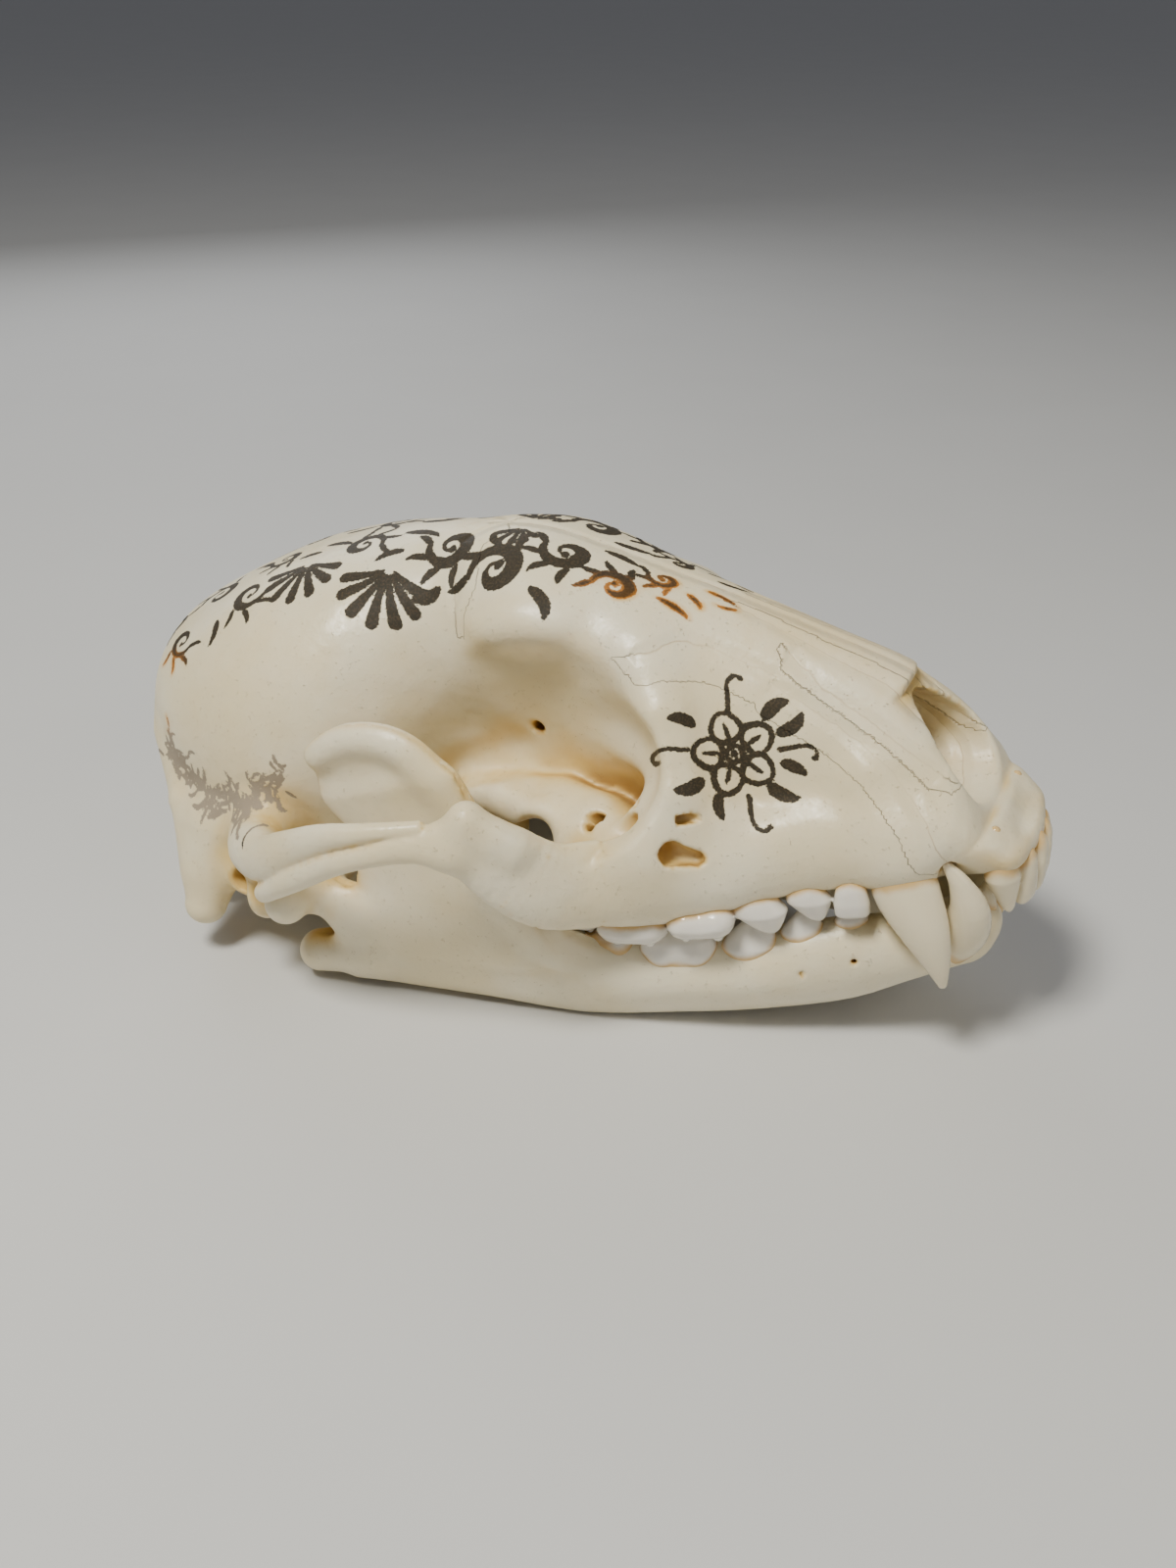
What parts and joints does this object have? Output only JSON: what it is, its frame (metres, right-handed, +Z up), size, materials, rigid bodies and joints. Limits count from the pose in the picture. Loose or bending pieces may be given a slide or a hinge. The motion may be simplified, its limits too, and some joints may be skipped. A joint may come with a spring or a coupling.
{
  "type": "raccoon skull with lower jaw",
  "caption": "Life-size raccoon skull resting on its lower jaw, with cheek arches, open nose, ear bullae and teeth in closed bite",
  "frame": {"origin": "centre of the bounding box on the floor, under the resting skull", "axes": "+X is the snout, +Y the animal's left side, +Z up; the skull is symmetric about the plane y = 0"},
  "size_m": [0.1164, 0.0734, 0.0549],
  "materials": {
    "bone": "cleaned, pale cream bone with a soft sheen"
  },
  "bodies": {
    "root": {"cranium": "bone", "jugal_right": "bone", "jugal_left": "bone", "mandible_right": "bone", "mandible_left": "bone"}
  },
  "joints": []
}
